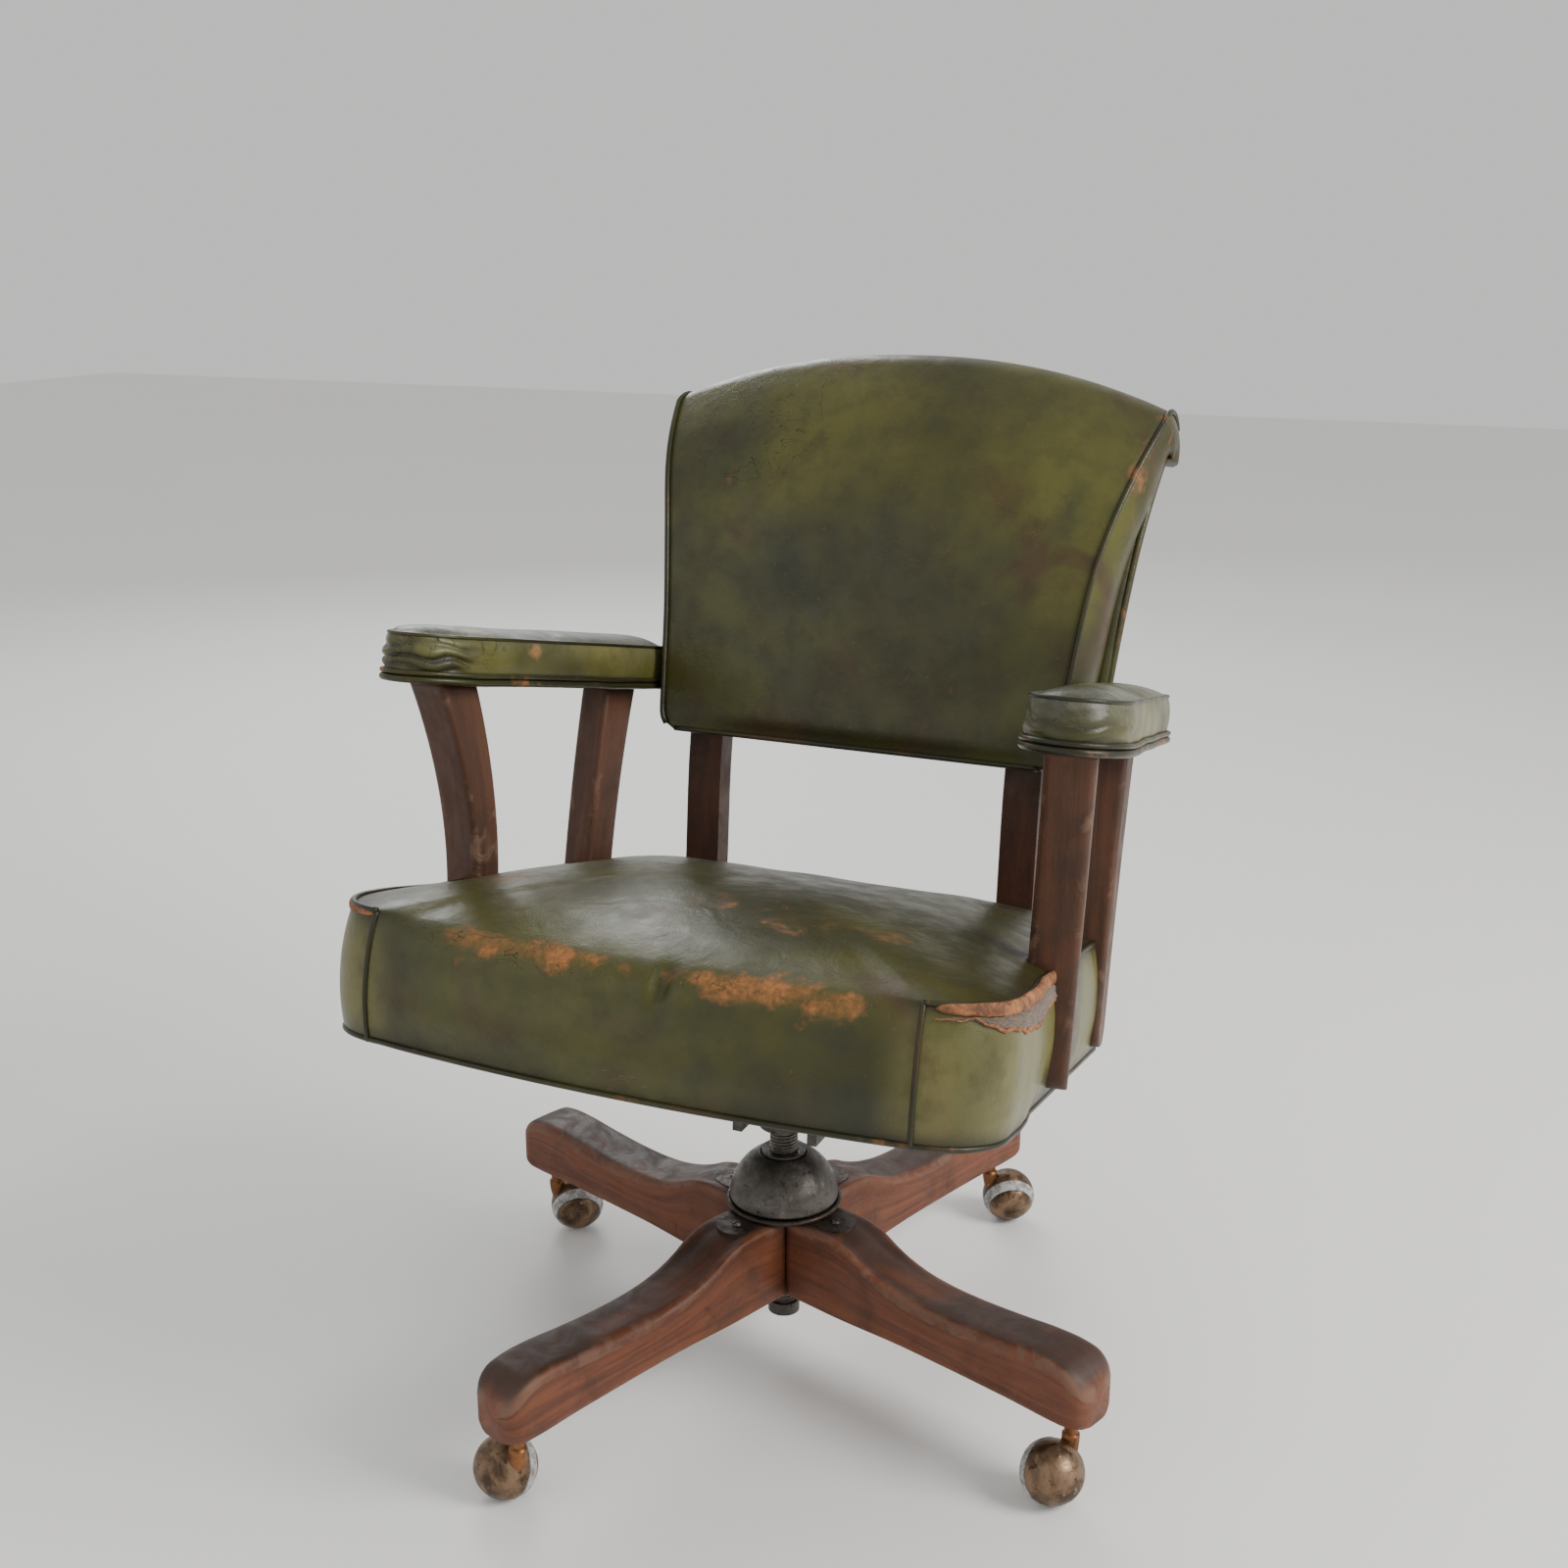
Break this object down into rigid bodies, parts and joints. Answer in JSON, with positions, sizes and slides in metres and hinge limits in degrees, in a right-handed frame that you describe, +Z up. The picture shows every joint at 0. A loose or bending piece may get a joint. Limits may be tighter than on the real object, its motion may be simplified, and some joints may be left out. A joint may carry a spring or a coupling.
{
  "type": "swivel office chair",
  "caption": "Upholstered swivel armchair on a walnut cross base with ball casters, a screw spindle for height and a sprung tilt.",
  "frame": {"origin": "on the floor, on the swivel axis", "axes": "+Z up, the sitter faces -Y, +X is on the right when the chair is seen from the front"},
  "size_m": [0.651, 0.6891, 0.8846],
  "materials": {
    "walnut": "worn satin walnut, darker on the tops",
    "dark_wood": "plain dark wood",
    "plywood": "raw board",
    "green_leather": "worn olive green leather, orange brown where rubbed",
    "black_cloth": "thin plain weave",
    "cast_iron": "dark worn paint on cast iron",
    "steel": "dull oily steel",
    "worn_bronze": "tarnished bronze",
    "grey_tyre": "worn light grey tread"
  },
  "bodies": {
    "base": {"leg_front_right": "walnut", "leg_rear_right": "walnut", "leg_rear_left": "walnut", "leg_front_left": "walnut", "hub_casting": "cast_iron", "hub_screws": "steel", "bearing_cup": "cast_iron", "caster_sockets": "steel"},
    "dome": {"dome_nut": "cast_iron", "bearing_balls": "steel"},
    "key_collar": {"key_washer": "steel"},
    "screw": {"spindle": "steel", "spindle_stop_collar": "cast_iron", "tilt_yoke": "cast_iron", "yoke_pin": "steel", "tilt_axle": "steel", "tension_spring": "steel"},
    "seat": {"seat_irons": "cast_iron", "iron_bolts": "steel", "tension_bolt": "steel", "seat_side_rails": "dark_wood", "seat_cross_rails": "dark_wood", "seat_deck": "plywood", "dust_cover": "black_cloth", "seat_cushion": "green_leather", "arm_post_front_right": "walnut", "arm_post_front_left": "walnut", "arm_post_rear_right": "walnut", "arm_post_rear_left": "walnut", "post_bolts": "steel", "arm_board_right": "dark_wood", "arm_board_left": "dark_wood", "arm_pad_right": "green_leather", "arm_pad_left": "green_leather", "arm_screws": "steel", "back_uprights": "walnut", "upright_bolts": "steel", "back_board": "dark_wood", "board_screws": "steel", "back_cushion": "green_leather", "back_panel": "green_leather"},
    "tension_slide": {"spring_washer": "steel"},
    "tension_hand_knob": {"tension_knob": "worn_bronze"},
    "caster_1": {"caster_1_hood": "worn_bronze"},
    "wheel_1": {"caster_1_wheel": "worn_bronze", "caster_1_tyre": "grey_tyre"},
    "caster_2": {"caster_2_hood": "worn_bronze"},
    "wheel_2": {"caster_2_wheel": "worn_bronze", "caster_2_tyre": "grey_tyre"},
    "caster_3": {"caster_3_hood": "worn_bronze"},
    "wheel_3": {"caster_3_wheel": "worn_bronze", "caster_3_tyre": "grey_tyre"},
    "caster_4": {"caster_4_hood": "worn_bronze"},
    "wheel_4": {"caster_4_wheel": "worn_bronze", "caster_4_tyre": "grey_tyre"}
  },
  "joints": [
    {"name": "swivel", "type": "hinge", "parent": "base", "child": "key_collar", "pos_m": [0, 0, 0.16], "axis": [0, 0, 1], "continuous": true},
    {"name": "height_turn", "type": "hinge", "parent": "key_collar", "child": "dome", "pos_m": [0, 0, 0.16], "axis": [0, 0, 1], "range_deg": [-7200, 1440]},
    {"name": "height_slide", "type": "slide", "parent": "key_collar", "child": "screw", "axis": [0, 0, 1], "range_m": [-0.0127, 0.0635]},
    {"name": "tilt", "type": "hinge", "parent": "screw", "child": "seat", "pos_m": [0, 0.016, 0.262], "axis": [1, 0, 0], "range_deg": [-6, 12.33], "stiffness_Nm_per_rad": 150, "deforming": ["tension_spring"]},
    {"name": "tension_travel", "type": "slide", "parent": "seat", "child": "tension_slide", "axis": [0, 0.2135, 0.9769], "range_m": [0, 0.007]},
    {"name": "tension_turn", "type": "hinge", "parent": "tension_slide", "child": "tension_hand_knob", "pos_m": [0, 0.0841, 0.20385], "axis": [0, 0.2135, 0.9769], "range_deg": [0, 1440]},
    {"name": "caster_1_swivel", "type": "hinge", "parent": "base", "child": "caster_1", "pos_m": [0.29914, -0.10184, 0.09], "axis": [0, 0, 1], "continuous": true},
    {"name": "caster_1_roll", "type": "hinge", "parent": "caster_1", "child": "wheel_1", "pos_m": [0.28975, -0.11949, 0.027], "axis": [-0.8297, 0.4412, -0.342], "continuous": true},
    {"name": "caster_2_swivel", "type": "hinge", "parent": "base", "child": "caster_2", "pos_m": [0.10184, 0.29914, 0.09], "axis": [0, 0, 1], "continuous": true},
    {"name": "caster_2_roll", "type": "hinge", "parent": "caster_2", "child": "wheel_2", "pos_m": [0.11945, 0.30862, 0.027], "axis": [0.4455, -0.8274, -0.342], "continuous": true},
    {"name": "caster_3_swivel", "type": "hinge", "parent": "base", "child": "caster_3", "pos_m": [-0.29914, 0.10184, 0.09], "axis": [0, 0, 1], "continuous": true},
    {"name": "caster_3_roll", "type": "hinge", "parent": "caster_3", "child": "wheel_3", "pos_m": [-0.28272, 0.11325, 0.027], "axis": [0.5363, -0.7716, -0.342], "continuous": true},
    {"name": "caster_4_swivel", "type": "hinge", "parent": "base", "child": "caster_4", "pos_m": [-0.10184, -0.29914, 0.09], "axis": [0, 0, 1], "continuous": true},
    {"name": "caster_4_roll", "type": "hinge", "parent": "caster_4", "child": "wheel_4", "pos_m": [-0.11981, -0.29037, 0.027], "axis": [0.4119, 0.8446, -0.342], "continuous": true}
  ],
  "couplings": [
    {"joint": "height_turn", "follows": "height_slide", "rad_per_m": -1979},
    {"joint": "tension_turn", "follows": "tension_travel", "rad_per_m": 3590.4}
  ]
}
